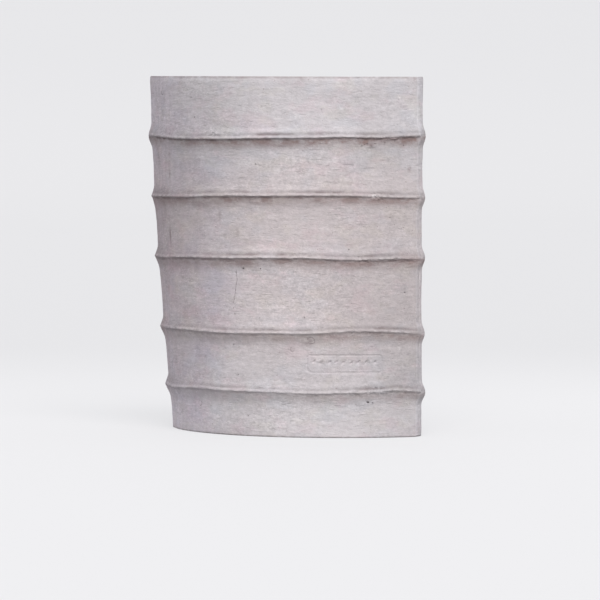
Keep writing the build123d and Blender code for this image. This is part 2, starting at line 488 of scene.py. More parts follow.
def half_solid(name, back):
    """A closed body: the outside, a top and a foot drawn in to the parting plane, and the parting face."""
    skin = half_skin(back)
    height_count, column_count, _ = skin.shape
    points = [skin.reshape(-1, 3)]
    faces = grid_faces(height_count, column_count)
    start = height_count * column_count
    for row in (0, height_count - 1):
        rim = skin[row]
        seam = rim * (1, 0, 1)
        seam[seam[:, 0] <= rim[0, 0] + 0.05] = rim[0]
        seam[seam[:, 0] >= rim[-1, 0] - 0.05] = rim[-1]
        caps = [rim + (seam - rim) * share for share in (0, 0.33, 0.67, 1)]
        points.append(np.concatenate(caps))
        faces += [tuple(start + i for i in face) for face in grid_faces(len(caps), column_count)]
        start += len(caps) * column_count
    made = make_object(name, np.concatenate(points), faces)
    work = bmesh.new()
    work.from_mesh(made.data)
    bmesh.ops.remove_doubles(work, verts=work.verts, dist=0.002 * MM)
    bmesh.ops.dissolve_degenerate(work, edges=work.edges, dist=0.0005 * MM)
    fill_parting_face(work)
    bmesh.ops.recalc_face_normals(work, faces=work.faces)
    work.to_mesh(made.data)
    work.free()
    return made


# ================================ hollows cut from the halves ================================


def cavity_rings(first, last, step=5.0):
    """Rings of the vase's inside between two heights."""
    heights, long_axes, short_axes = zip(*CAVITY)
    z = np.clip(np.arange(first, last + step, step), first, last)
    inside = np.clip(z, heights[0], heights[-1])
    return list(zip(z, flowing(heights, long_axes, inside), flowing(heights, short_axes, inside)))


def natch_places():
    """Where the natches are on the parting plane, as (name, x, z)."""
    places = []
    for level, z in NATCH_HEIGHTS.items():
        places.append((f"left_{level}", NATCH_INSET - float(left_reach(z)), z))
        places.append((f"right_{level}", right_reach(z) - NATCH_INSET, z))
    return places


def cut(body, tools):
    """Cuts closed tools out of a body, one after another, and keeps the result as the body's mesh."""
    for tool in tools:
        modifier = body.modifiers.new(tool.name, "BOOLEAN")
        modifier.operation = "DIFFERENCE"
        modifier.solver = "MANIFOLD"
        modifier.object = tool
    graph = bpy.context.evaluated_depsgraph_get()
    result = bpy.data.meshes.new_from_object(body.evaluated_get(graph))
    body.modifiers.clear()
    body.data = result
    for tool in tools:
        bpy.data.objects.remove(tool)
    tidy(body)


def egg(centre, radii, rings=7, segments=10):
    """Points and faces of a small closed egg, for cutting a pinhole."""
    points = [(0, 0, -1)]
    for t in np.linspace(0, math.pi, rings + 2)[1:-1]:
        for a in np.linspace(0, 2 * math.pi, segments, endpoint=False):
            points.append((math.sin(t) * math.cos(a), math.sin(t) * math.sin(a), -math.cos(t)))
    points.append((0, 0, 1))
    faces = [tuple(1 + i for i in face) for face in grid_faces(rings, segments, wrap=True)]
    top = len(points) - 1
    for i in range(segments):
        after = (i + 1) % segments
        faces.append((0, 1 + after, 1 + i))
        faces.append((top, top - segments + i, top - segments + after))
    return np.array(points) * radii + centre, faces


def pinholes(back):
    """Air bubbles that broke open in the skin."""
    chance = random.Random(11 if back else 4)
    holes = [] if back else [(0.476, 168.0, 1.1), (0.846, 35.8, 1.35), (0.861, 35.0, 0.7)]
    while len(holes) < 42:
        share, z = chance.uniform(0.03, 0.97), chance.uniform(6, 350)
        if not back and chance.random() < 0.3:
            share, z = chance.uniform(0.80, 0.97), RIBS[4][0] - chance.uniform(1.5, 9)
        on_panel = PANEL_SHARES[0] - 0.02 < share < PANEL_SHARES[1] + 0.02
        on_panel = on_panel and PANEL_HEIGHTS[0] - 4 < z < PANEL_HEIGHTS[1] + 4
        crowded = any(abs(share - s) * SIDE_LENGTH < 3 and abs(z - h) < 3 for s, h, _ in holes)
        if not on_panel and not crowded:
            holes.append((share, z, chance.uniform(0.35, 0.75)))
    points, faces = [], []
    for share, z, size in holes:
        centre = on_outside(share, z, back) + (0, (0.3 + 0.2 * size) * (-1 if back else 1), 0)
        egg_points, egg_faces = egg(centre, (size, size + 4.4, size * 0.9))
        faces += [tuple(len(points) + i for i in face) for face in egg_faces]
        points += list(egg_points)
    return make_object("pinholes", points, faces)


# share and height along the open crack, from the top down, and half its width
CRACK = ((0.452, 171), (0.449, 163), (0.452, 157), (0.445, 150), (0.443, 144), (0.436, 138), (0.432, 131))
CRACK_HALF_WIDTH = 0.42


def crack():
    """A thin crooked cut down the front, below the third rib."""
    points = []
    for number, (share, z) in enumerate(CRACK):
        thick = CRACK_HALF_WIDTH * (0.15 if number in (0, len(CRACK) - 1) else 1)
        middle = on_outside(share, z)
        for sideways, inward in ((-thick, -3), (thick, -3), (thick * 0.4, 2.2), (-thick * 0.4, 2.2)):
            points.append(middle + (sideways, inward, 0))
    faces = grid_faces(len(CRACK), 4, wrap=True)
    faces += [(0, 1, 2, 3), tuple(range(len(points) - 4, len(points)))]
    made = make_object("crack", points, faces)
    tidy(made)
    return made


def widened(rings):
    return [(z, a + CLEARANCE, b + CLEARANCE) for z, a, b in rings]


def cast_half(name, body, node, back):
    """A finished plaster half."""
    direction = 1 if back else -1
    half = half_solid(name, back)
    recess = oval_rings("recess", widened([(-5, *PLUG[0][1:]), *PLUG]))
    vase = oval_rings("vase", cavity_rings(PLUG_TOP - 1, SEAT_HEIGHT + 1))
    seat = oval_rings("seat", widened(SEAT))
    pocket = [
        (0, -2),
        (NATCH_RADIUS + 0.1, -2),
        (NATCH_RADIUS + 0.1, NATCH_DEPTH - FLANGE_DEPTH),
        (FLANGE_RADIUS + 0.1, NATCH_DEPTH - FLANGE_DEPTH - 0.05),
        (FLANGE_RADIUS + 0.1, NATCH_DEPTH + 0.05),
        (0, NATCH_DEPTH + 0.05),
    ]
    tools = [lathe(f"pocket_{place}", pocket, x, z, direction) for place, x, z in natch_places()]
    tools += [recess, vase, seat, pinholes(back)]
    if not back:
        tools.append(crack())
    cut(half, tools)
    paint_half(half)
    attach(half, body)
    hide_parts(node)
    return half


def worn(thing, amount, grain, seed):
    """Roughens a mesh's surface a little along its normals."""
    normals = [vertex.normal.copy() for vertex in thing.data.vertices]
    for vertex, normal in zip(thing.data.vertices, normals):
        place = vertex.co / (grain * MM)
        vertex.co += normal * (amount * MM * noise.fractal(place + Vector((seed, 0, 0)), 1.0, 2.0, 3))
        vertex.co.z = max(vertex.co.z, 0)


def smooth_path(corners, radius, step=1.5):
    """Points along a chain of straight lines, with its inner corners rounded."""
    corners = [np.array(corner, float) for corner in corners]
    path = [corners[0]]
    for before, corner, after in zip(corners, corners[1:], corners[2:]):
        back_way = (before - corner) / np.linalg.norm(before - corner)
        on_way = (after - corner) / np.linalg.norm(after - corner)
        reach = min(radius, np.linalg.norm(before - corner) * 0.45, np.linalg.norm(after - corner) * 0.45)
        for t in np.linspace(0, 1, 5):
            start, end = corner + back_way * reach, corner + on_way * reach
            path.append((1 - t) ** 2 * start + 2 * t * (1 - t) * corner + t**2 * end)
    path.append(corners[-1])
    filled = [path[0]]
    for here, there in zip(path, path[1:]):
        count = max(1, math.ceil(np.linalg.norm(there - here) / step))
        filled += [here + (there - here) * i / count for i in range(1, count + 1)]
    return filled


def foot_plug():
    """The plug that forms the vase's foot, with its locking ridge and its raised pad."""
    corners = [(a, b, z) for z, a, b in ((0, 20, 2), *PLUG, *FOOT_PAD, (PLUG_TOP + 3, 20, 2))]
    rings = [(z, a, b) for a, b, z in smooth_path(corners, 1.2, step=2.2)]
    plug = oval_rings("foot_plug_cast", rings, segments=220)
    worn(plug, 0.12, 18, 3)
    return plug


def pour_ring():
    """The loose ring that holds the spare slip."""
    outside = [(a, b, z) for z, a, b in RING]
    inside = [(a, b, z) for z, a, b in POUR_HOLE[::-1]]
    middle = tuple(np.mean([outside[0], inside[-1]], axis=0))
    path = smooth_path([middle] + outside + inside + [middle], 1.4, step=1.8)[:-1]
    rings = [(z, a, b) for a, b, z in path]
    ring = oval_rings("pour_ring_cast", rings, segments=220, closed=True)
    worn(ring, 0.10, 16, 9)
    return ring


def natch_profile(cup):
    """Half outline of a natch as (radius, depth) from its face on the parting plane to its far end."""
    soft = 0.35
    if cup:
        radius = KNOB_RADIUS + CLEARANCE
        face = [(radius * math.sin(t), radius * math.cos(t)) for t in np.linspace(0, math.pi / 2, 14)]
        face[-1] = (radius + soft, 0.0)
        face.insert(-1, (radius + 0.08, 0.25))
    else:
        face = [(KNOB_RADIUS * math.sin(t), -KNOB_RADIUS * math.cos(t)) for t in np.linspace(0, 1.52, 14)]
        face.append((KNOB_RADIUS + soft, 0.0))
    buried = [
        (NATCH_RADIUS - soft, 0.0),
        (NATCH_RADIUS, soft),
        (NATCH_RADIUS, NATCH_DEPTH - FLANGE_DEPTH - 0.3),
        (NATCH_RADIUS + 0.3, NATCH_DEPTH - FLANGE_DEPTH),
        (FLANGE_RADIUS - soft, NATCH_DEPTH - FLANGE_DEPTH),
        (FLANGE_RADIUS, NATCH_DEPTH - FLANGE_DEPTH + soft),
        (FLANGE_RADIUS, NATCH_DEPTH - soft),
        (FLANGE_RADIUS - soft, NATCH_DEPTH),
        (0, NATCH_DEPTH),
    ]
    return face + buried


def add_natches(plastic):
    """Pegs in the front half and cups in the back half."""
    for place, x, z in natch_places():
        for kind, body, direction in (("peg", "front", -1), ("cup", "back", 1)):
            natch = lathe(f"{kind}_{place}", natch_profile(kind == "cup"), x, z, direction, 56)
            natch.data.materials.append(plastic)
            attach(natch, body)
            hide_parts(f"natch_{kind}_{place}")


# ================================ marks painted on the halves ================================

# dark smudges and pale scrapes on the front: share, height, half width and half height in
# millimetres, strength
DARK_MARKS = (
    (0.15, 200, 2.2, 13, 0.8),
    (0.17, 262, 2.2, 14, 0.6),
    (0.175, 281, 1.8, 4, 0.8),
    (0.13, 225, 2.0, 5, 0.6),
    (0.09, 276, 2.5, 10, 0.4),
    (0.105, 150, 4, 14, 0.35),
    (0.09, 328, 4, 9, 0.3),
    (0.40, 221, 2, 6, 0.45),
    (0.46, 206, 2, 7, 0.4),
    (0.30, 238, 5, 1.5, 0.5),
    (0.35, 297, 16, 1.4, 0.7),
    (0.20, 237, 14, 2.5, 0.5),
    (0.50, 29, 3, 3, 0.35),
    (0.385, 320, 6, 8, 0.2),
    (0.06, 50, 5, 4, 0.5),
    (0.975, 267, 1.6, 2.2, 0.9),
    (0.67, 96, 9, 5, 0.6),
    (0.862, 291.5, 3, 2, 0.9),
    (0.89, 295.5, 6, 1.5, 0.9),
    (0.94, 293.5, 9, 3, 0.7),
    (0.60, 291, 24, 4, 0.4),
    (0.33, 232, 16, 4, 0.35),
    (0.47, 172, 8, 3, 0.5),
    (0.43, 175.3, 8, 1.1, 0.8),
    (0.93, 176.0, 13, 1.2, 0.9),
    (0.86, 172.0, 8, 2.5, 0.4),
    (0.94, 297.0, 13, 1.6, 1.0),
    (0.665, 358, 3, 2.5, 0.7),
    (0.99, 356, 3, 3, 0.6),
)
PALE_MARKS = (
    (0.389, 121, 2.0, 2.0, 0.9),
    (0.84, 126, 2.5, 4, 0.7),
    (0.943, 88.5, 1.8, 1.8, 0.9),
    (0.945, 339, 5, 2.0, 0.8),
    (0.93, 335, 2.0, 4, 0.6),
    (0.865, 241, 5, 1.5, 0.9),
    (0.50, 275, 14, 5, 0.5),
    (0.60, 268, 10, 4, 0.5),
    (0.25, 6, 42, 5, 0.45),
    (0.75, 4, 60, 3, 0.4),
)
# lavender stains, and places with a coarser skin
COOL_MARKS = (
    (0.37, 148, 32, 32, 1.0),
    (0.36, 265, 34, 20, 0.8),
    (0.37, 205, 26, 24, 0.6),
    (0.30, 78, 34, 22, 0.8),
    (0.24, 24, 36, 18, 0.6),
)
COARSE_MARKS = (
    (0.66, 145, 60, 34, 0.9),
    (0.62, 268, 46, 22, 1.0),
    (0.88, 205, 40, 26, 0.4),
    (0.50, 22, 70, 16, 0.4),
    (0.39, 302, 9, 4, 2.2),
    (0.15, 304, 6, 3, 1.5),
    (0.13, 246, 6, 3, 1.5),
    (0.10, 302, 12, 4, 1.0),
    (0.88, 241, 9, 3, 1.5),
    (0.66, 180, 12, 3, 1.5),
    (0.97, 181, 8, 5, 1.2),
    (0.92, 46, 28, 4, 1.2),
)
# fine cracks on the front: (share, height) of both ends, and half width in millimetres
FINE_CRACKS = (
    ((0.452, 175), (0.446, 152), 0.6),
    ((0.443, 146), (0.432, 128), 0.7),
    ((0.433, 134), (0.440, 110), 0.6),
    ((0.722, 338), (0.725, 316), 0.35),
    ((0.520, 151), (0.562, 119), 0.35),
    ((0.800, 134), (0.838, 119), 0.35),
    ((0.845, 292), (0.905, 294), 0.6),
    ((0.930, 212), (0.985, 206), 0.4),
)
# rings left by bubbles under the skin: share, height, radius
BUBBLE_RINGS = ((0.14, 343, 2.0), (0.26, 30, 2.6), (0.62, 88, 2.0), (0.68, 97, 3.4))
# marks of each kind on the front, in the order that paint_half names them
FRONT_MARKS = (DARK_MARKS, PALE_MARKS, COOL_MARKS, COARSE_MARKS)
# painted shade on the ribs, darker on the crest, in the recess over it and up the flare: height above the
# crest, how far it reaches, and how much at the stations
SHADE_STATIONS = (0.1, 0.3, 0.5, 0.7, 0.9)
PAINTED_RIB_SHADE = (
    (0.6, 0.9, (0.36, 0.42, 0.20, 0.16, 0.28)),
    (3.2, 2.0, (0.20, 0.14, 0.12, 0.13, 0.19)),
    (6.5, 4.5, (0.26, 0.19, 0.08, 0.06, 0.12)),
)
HOLE_DEPTH, WALL_DEPTH = 2.4, 8.0  # under the skin: the bottoms of pinholes, and the working faces
SAMPLES = np.linspace(0, 1, 200)  # shares at which noise and waves along the side are worked out


def outside_places(points):
    """Share of the bowed side, and depth under the plain outside, for points of a half."""
    x, y, z = points.T
    middle, half_chord, bow, radius = lens(z)
    from_middle = x - middle
    ahead = np.abs(y) - (END_LAND + bow - radius)
    angle = np.arctan2(from_middle, ahead)
    share = np.clip(0.5 + 0.5 * angle / np.arcsin(half_chord / radius), 0, 1)
    buried = radius - np.hypot(from_middle, ahead)
    buried = np.minimum(buried, np.minimum(right_reach(z) - x, x + left_reach(z)))
    return share, buried


def rib_shade_and_stain(share, aboves):
    """A stain with painted shade on the wall under each rib, and painted shade along its fold and in its
    hollow.
    """
    under, crease_shade_and_rim_line = np.zeros(len(share)), np.zeros(len(share))
    for (height, _, sharp, *_), above, shade_stain_amount, hollows in zip(RIBS, aboves, RIB_SHADE_AND_STAIN, HOLLOWS):
        # a stain with painted shade, strongest a little under the crest
        shade_and_stain_band = peak(above, -4.0, np.where(above > -4.0, 3.4, 4.8))
        under = np.maximum(under, np.interp(share, SHADE_AND_STAIN_STATIONS, shade_stain_amount) * shade_and_stain_band)
        broken = np.array([noise.noise((9 * s, 0.7 * height, 2.0)) for s in SAMPLES])
        broken = np.clip(0.55 + 1.1 * np.interp(share, SAMPLES, broken), 0.1, 1)
        # painted shade in the hollow over the crest, broken in places
        hollow_shade = peak(above, 3.0, np.where(above > 3.0, 2.2, 1.3))
        hollow_shade *= np.interp(share, WAVE_STATIONS, hollows) * broken
        # painted shade along the fold just under the crest, and in the hollow
        for line in (sharp**2 * peak(above, -1.7, 1.3), 0.9 * hollow_shade):
            crease_shade_and_rim_line = np.maximum(crease_shade_and_rim_line, line)
    return under, crease_shade_and_rim_line


def light_and_dark(points, share, aboves, back):
    """How light the skin is in each tier, darkened by painted shade along each rib, and with painted light
    on the upright end land.
    """
    z = points[:, 2]
    tone = np.full(len(z), 0.93 if back else 1.0)
    for low, high, tones in zip(LEVELS, LEVELS[1:], () if back else TIER_TONES):
        over_low = 1 / (1 + np.exp(np.clip((low - z) / 3, -30, 30)))
        within = over_low / (1 + np.exp(np.clip((z - high) / 3, -30, 30)))
        tone += within * (np.interp(share, TONE_STATIONS, tones) - 1)
    # painted shade along the ribs
    for middle, reach, darker in PAINTED_RIB_SHADE:
        nearest = np.max([peak(above, middle, reach) for above in aboves], axis=0)
        tone *= 1 - np.interp(share, SHADE_STATIONS, darker) * nearest
    # painted light on the upright end land: much lighter on the front, and on the back lighter towards the
    # top
    painted_land_light = 0.94 + 0.12 * z / HEIGHT if back else 1.15
    return tone * np.where(on_land(points) & (points[:, 0] > 0), painted_land_light, 1)


def on_land(points):
    """Which points are on a half's end lands."""
    return np.abs(points[:, 1]) < END_LAND + 0.3


def oval_marks(share, z, marks):
    """The strength of the strongest of some soft oval marks, at each point."""
    strongest = np.zeros(len(z))
    for middle, height, width, tall, strength in marks:
        away = np.hypot((share - middle) * SIDE_LENGTH / width, (z - height) / tall)
        strongest = np.maximum(strongest, strength * peak(away, 0, 1))
    return strongest


def paint_half(half):
    """Stores where a half is stained, worn, smudged or scraped and where shade and light are painted on it,
    and gives its faces their materials.
    """
    points = np.empty(len(half.data.vertices) * 3)
    half.data.vertices.foreach_get("co", points)
    points = points.reshape(-1, 3) / MM
    back = points[:, 1].mean() > 0
    share, buried = outside_places(points)
    z = points[:, 2]
    waves = [np.interp(share, SAMPLES, wave) for wave in crest_waves(SAMPLES, back)]
    aboves = [z - rib[0] - wave for rib, wave in zip(RIBS, waves)]
    under, crease_shade_and_rim_line = rib_shade_and_stain(share, aboves)
    rim = peak(z - HEIGHT - waves[-1], 0, 1.0)
    dark, pale, cool, coarse = (oval_marks(share, z, () if back else ovals) for ovals in FRONT_MARKS)
    # the dark mark also takes a darker line along the rim, and painted shadow along the foot where it stands
    # on the floor
    dark = np.maximum(dark, np.maximum((0.6 - 0.2 * share) * rim, 0.6 * peak(z, 0, 1.6)))
    # painted shade at the bottoms of the pinholes
    pinhole_shade = (buried > HOLE_DEPTH) & (buried < WALL_DEPTH) & (z > 2) & (z < HEIGHT - 2)
    dark[pinhole_shade] = 1
    painted = {
        # a stain with painted shade on the wall under the ribs
        "under": under,
        # painted shade along the folds and hollows of the ribs, and a darker line along the rim
        "crease_shade_and_rim_line": np.maximum(crease_shade_and_rim_line, 0.45 * rim),
        # the crests, which the material makes paler with wear and a painted highlight
        "crest": np.max([peak(above, 0.6, 0.9) for above in aboves], axis=0),
        "tone": light_and_dark(points, share, aboves, back),
        "along": share,
        "dark": dark,
        "pale": pale,
        "cool": cool,
        "coarse": coarse,
        "land": on_land(points),
    }
    for name, values in painted.items():
        layer = half.data.attributes.new(name, "FLOAT", "POINT")
        layer.data.foreach_set("value", np.ascontiguousarray(values, dtype=np.float32))
    share_out_materials(half.data, buried)


def share_out_materials(mesh, buried):
    """Working faces and the parting face are paler than the outside, the top and the foot."""
    mesh.materials.clear()
    mesh.materials.append(PLASTER_OUTSIDE)
    mesh.materials.append(PLASTER_INSIDE)
    for face in mesh.polygons:
        centre = face.center / MM
        on_parting = abs(centre.y) < 0.01
        on_end = abs(face.normal.z) > 0.8 and (centre.z > HEIGHT - 2 or centre.z < 0.5)
        deep = not on_end and min(buried[i] for i in face.vertices) > WALL_DEPTH
        face.material_index = 1 if on_parting or deep else 0


# ================================ materials ================================


class Number:
    """A number socket in a material's nodes, which plain sums can be written with."""

    def __init__(self, socket):
        self.socket = socket

    def __add__(self, other):
        return worked_out("ADD", self, other)

    def __sub__(self, other):
        return worked_out("SUBTRACT", self, other)

    def __rsub__(self, other):
        return worked_out("SUBTRACT", other, self)

    def __mul__(self, other):
        return worked_out("MULTIPLY", self, other)

    def at_least(self, other):
        return worked_out("MAXIMUM", self, other)


def new_node(kind, inputs, tree=None, **settings):
    """A shader node with its settings made and its inputs given. It joins the tree of its inputs."""
    inputs = {name: value.socket if isinstance(value, Number) else value for name, value in inputs.items()}
    linked = {name: value for name, value in inputs.items() if isinstance(value, bpy.types.NodeSocket)}
    tree = tree or next(iter(linked.values())).id_data
    made = tree.nodes.new("ShaderNode" + kind)
    for name, value in settings.items():
        setattr(made, name, value)
    for name, value in inputs.items():
        if name in linked:
            tree.links.new(value, made.inputs[name])
        else:
            made.inputs[name].default_value = value
    return made


def worked_out(operation, first, second):
    """The result of one sum."""
    return Number(new_node("Math", {0: first, 1: second}, operation=operation).outputs[0])


def mix_colour(amount, first, second, blend="MIX"):
    """Colour socket that goes from the first colour to the second as the amount goes from 0 to 1."""
    colours = [(*c, 1) if isinstance(c, tuple) else c for c in (first, second)]
    inputs = {0: amount, 6: colours[0], 7: colours[1]}
    return new_node("Mix", inputs, data_type="RGBA", blend_type=blend).outputs[2]


def times_grey(colour, shade):
    """Colour socket of a colour made lighter or darker by a number."""
    grey = new_node("CombineColor", {"Red": shade, "Green": shade, "Blue": shade})
    return mix_colour(1.0, colour, grey.outputs["Color"], "MULTIPLY")


def between(value, low, high, to_low=0.0, to_high=1.0):
    """A number that goes smoothly from one number to another while the value crosses a range."""
    inputs = {"Value": value, "From Min": low, "From Max": high, "To Min": to_low, "To Max": to_high}
    made = new_node("MapRange", inputs, interpolation_type="SMOOTHSTEP")
    return Number(made.outputs["Result"])


def ripple(value, strength):
    """A number round 1 that follows a noise value's swings, times a strength."""
    return (value - 0.5) * strength + 1.0


def own_place(tree):
    """Vector socket of the place in the piece's own coordinates."""
    return new_node("TexCoord", {}, tree).outputs["Object"]


def place_along(tree, axis):
    """The place along one axis of the piece's own coordinates, in metres."""
    return Number(new_node("SeparateXYZ", {0: own_place(tree)}).outputs[axis])


def moved(tree, stretch, shift):
    """Vector socket of the place, stretched and shifted for one texture."""
    inputs = {"Vector": own_place(tree), "Scale": stretch, "Location": shift}
    return new_node("Mapping", inputs).outputs["Vector"]


def mottle(tree, size, stretch=(1, 1, 1), detail=3.0, rough=0.55, shift=(0, 0, 0)):
    """Noise with that grain size in millimetres."""
    scale = 1 / (size * MM)
    inputs = {"Vector": moved(tree, stretch, shift), "Scale": scale, "Detail": detail, "Roughness": rough}
    return Number(new_node("TexNoise", inputs).outputs["Fac"])


def specks(tree, spacing, size, shift=(0, 0, 0)):
    """A number that is 1 in scattered round specks, with spacing and size in millimetres."""
    inputs = {"Vector": moved(tree, (1, 1, 1), shift), "Scale": 1 / (spacing * MM)}
    cells = new_node("TexVoronoi", inputs, feature="F1").outputs["Distance"]
    return between(cells, size / spacing * 0.5, size / spacing, 1.0, 0.0)


def mark(tree, name):
    """A mark stored in the mesh."""
    return Number(new_node("Attribute", {}, tree, attribute_name=name).outputs["Fac"])


def vector_sum(operation, first, second):
    """The node of one vector sum. Only a scaling takes a number as its second."""
    inputs = {0: first, "Scale" if operation == "SCALE" else 1: second}
    return new_node("VectorMath", inputs, operation=operation)


def seen_flat(tree, shake=1.6):
    """Vector socket of the place in the X-Z plane, in millimetres, shaken a little by noise."""
    place = own_place(tree)
    inputs = {"Vector": place, "Scale": 1 / (5 * MM), "Detail": 3.0}
    noisy = new_node("TexNoise", inputs).outputs["Color"]
    scaled = vector_sum("SCALE", place, 1 / MM).outputs[0]
    swing = vector_sum("SUBTRACT", noisy, (0.5, 0.5, 0.5)).outputs[0]
    swing = vector_sum("SCALE", swing, shake).outputs[0]
    shaken = vector_sum("ADD", scaled, swing).outputs[0]
    return vector_sum("MULTIPLY", shaken, (1, 0, 1)).outputs[0]


def fine_line(flat, start, end, half_width):
    """A number that is 1 along a line between two points of the X-Z plane."""
    along = end - start
    from_start = vector_sum("SUBTRACT", flat, tuple(start)).outputs[0]
    share = vector_sum("DOT_PRODUCT", from_start, tuple(along / along.dot(along))).outputs["Value"]
    nearest = vector_sum("SCALE", tuple(along), between(share, 0, 1)).outputs[0]
    away = vector_sum("DISTANCE", from_start, nearest).outputs["Value"]
    return between(away, 0.3 * half_width, 1.3 * half_width, 1.0, 0.0)


def ring_line(flat, centre, radius):
    """A number that is 1 along a circle in the X-Z plane."""
    away = Number(vector_sum("DISTANCE", flat, tuple(centre)).outputs["Value"])
    off = new_node("Math", {0: away - radius}, operation="ABSOLUTE")
    return between(off.outputs[0], 0.3, 0.9, 1.0, 0.0)


def flat_place(share, z):
    """A place on the front as a point of the X-Z plane."""
    return Vector((on_outside(share, z)[0], 0, z))


def new_material(name):
    """A material and its node tree."""
    material = bpy.data.materials.new(name)
    material.use_nodes = True
    return material, material.node_tree


def finish_material(tree, colour, roughness, relief, shine):
    """Links colour, roughness and a chain of (height, depth in millimetres), and sets the shine."""
    shader = tree.nodes["Principled BSDF"]
    tree.links.new(colour, shader.inputs["Base Color"])
    tree.links.new(roughness.socket, shader.inputs["Roughness"])
    normal = None
    for height, depth in relief:
        inputs = {"Height": height, "Distance": depth * MM, "Strength": 1.0}
        if normal is not None:
            inputs["Normal"] = normal
        normal = new_node("Bump", inputs).outputs["Normal"]
    tree.links.new(normal, shader.inputs["Normal"])
    shader.inputs["Specular IOR Level"].default_value = shine


def skin_colour(tree, cloud, near_leaning_end):
    """Mauve-grey, pinker low down and in patches, cooler on the lands, and beige in places."""
    colour = mix_colour(between(cloud, 0.36, 0.64), (0.55, 0.525, 0.54), (0.60, 0.577, 0.592))
    height = place_along(tree, "Z")
    lower = between(height, 0.24, 0.31, 0.7, 0.0) * between(height, 0.03, 0.13, 0.15, 1.0)
    pink = between(mottle(tree, 34, (1, 1, 1.8), 4, 0.6, (0.3, 0, 0)), 0.50, 0.66)
    cool = between(mottle(tree, 30, (1, 1, 1.3), 3, 0.5, (0, 0, 0.7)), 0.50, 0.64)
    beige = between(mottle(tree, 26, (1, 1, 1.5), 3, 0.5, (0.6, 0, 0.2)), 0.52, 0.64)
    tints = (
        (lower, (1.02, 0.955, 0.93)),
        (near_leaning_end, (1.0, 0.965, 1.01)),
        (pink, (1.015, 0.968, 0.98)),
        (cool.at_least(mark(tree, "land")), (0.98, 1.0, 1.015)),
        (mark(tree, "cool"), (0.965, 0.985, 1.035)),
        (beige, (1.0, 1.0, 0.975)),
    )
    for amount, tint in tints:
        colour = mix_colour(amount, colour, tint, "MULTIPLY")
    return colour


def add_dots(tree, colour):
    """Scatters dark grit and pale crumbs over a colour."""
    grit = specks(tree, 8, 0.9) * between(mottle(tree, 25), 0.50, 0.60)
    colour = mix_colour(grit * 0.55, colour, (0.26, 0.21, 0.20))
    return mix_colour(specks(tree, 6, 0.6, (0.5, 0, 0)) * 0.35, colour, (0.74, 0.72, 0.72))


def add_rib_shade_and_stain(tree, colour):
    """Darkens the wall under the ribs with a stain and painted shade, and paints shade along their folds and
    in their hollows.
    """
    patchy = between(mottle(tree, 22, (1, 1, 1.6), 5, 0.7, (0, 0, 0.3)), 0.38, 0.60, 0.35, 1.1)
    # a brownish stain with painted shade under each rib
    shade_and_stain = mark(tree, "under") * patchy
    colour = mix_colour(shade_and_stain * 0.70, colour, (0.29, 0.213, 0.20))
    # painted shade along the folds and in the hollows, and the line along the rim
    line = between(mottle(tree, 16, (1, 1, 2), 4, 0.6, (0.7, 0, 0)), 0.38, 0.60, 0.1, 0.75)
    return mix_colour(mark(tree, "crease_shade_and_rim_line") * line, colour, (0.14, 0.10, 0.095))


def etched_lines(tree):
    """A number that is 1 in the fine cracks and the bubble rings of the front."""
    flat = seen_flat(tree)
    faded = between(mottle(tree, 4), 0.38, 0.58, 0.1, 0.75)
    lines = [fine_line(flat, flat_place(*start), flat_place(*end), w) for start, end, w in FINE_CRACKS]
    lines += [ring_line(flat, flat_place(share, z), r) * faded for share, z, r in BUBBLE_RINGS]
    etched = lines[0]
    for line in lines[1:]:
        etched = etched.at_least(line)
    return etched * worked_out("LESS_THAN", place_along(tree, "Y"), 0.0)


def wear_and_crest_highlight(tree):
    """How pale the skin is: rubbed wear with a painted highlight on the crests, and the scrapes."""
    # the crests are made paler by wear and by a painted highlight
    rubbed_and_highlight = between(mottle(tree, 7, (1, 1, 1), 3, 0.6, (0.2, 0, 0)), 0.42, 0.62, 0.0, 0.35)
    scrape = between(mottle(tree, 3, (1, 1, 1), 3, 0.7), 0.40, 0.55, 0.2, 1.0)
    return (mark(tree, "crest") * rubbed_and_highlight).at_least(mark(tree, "pale") * scrape)


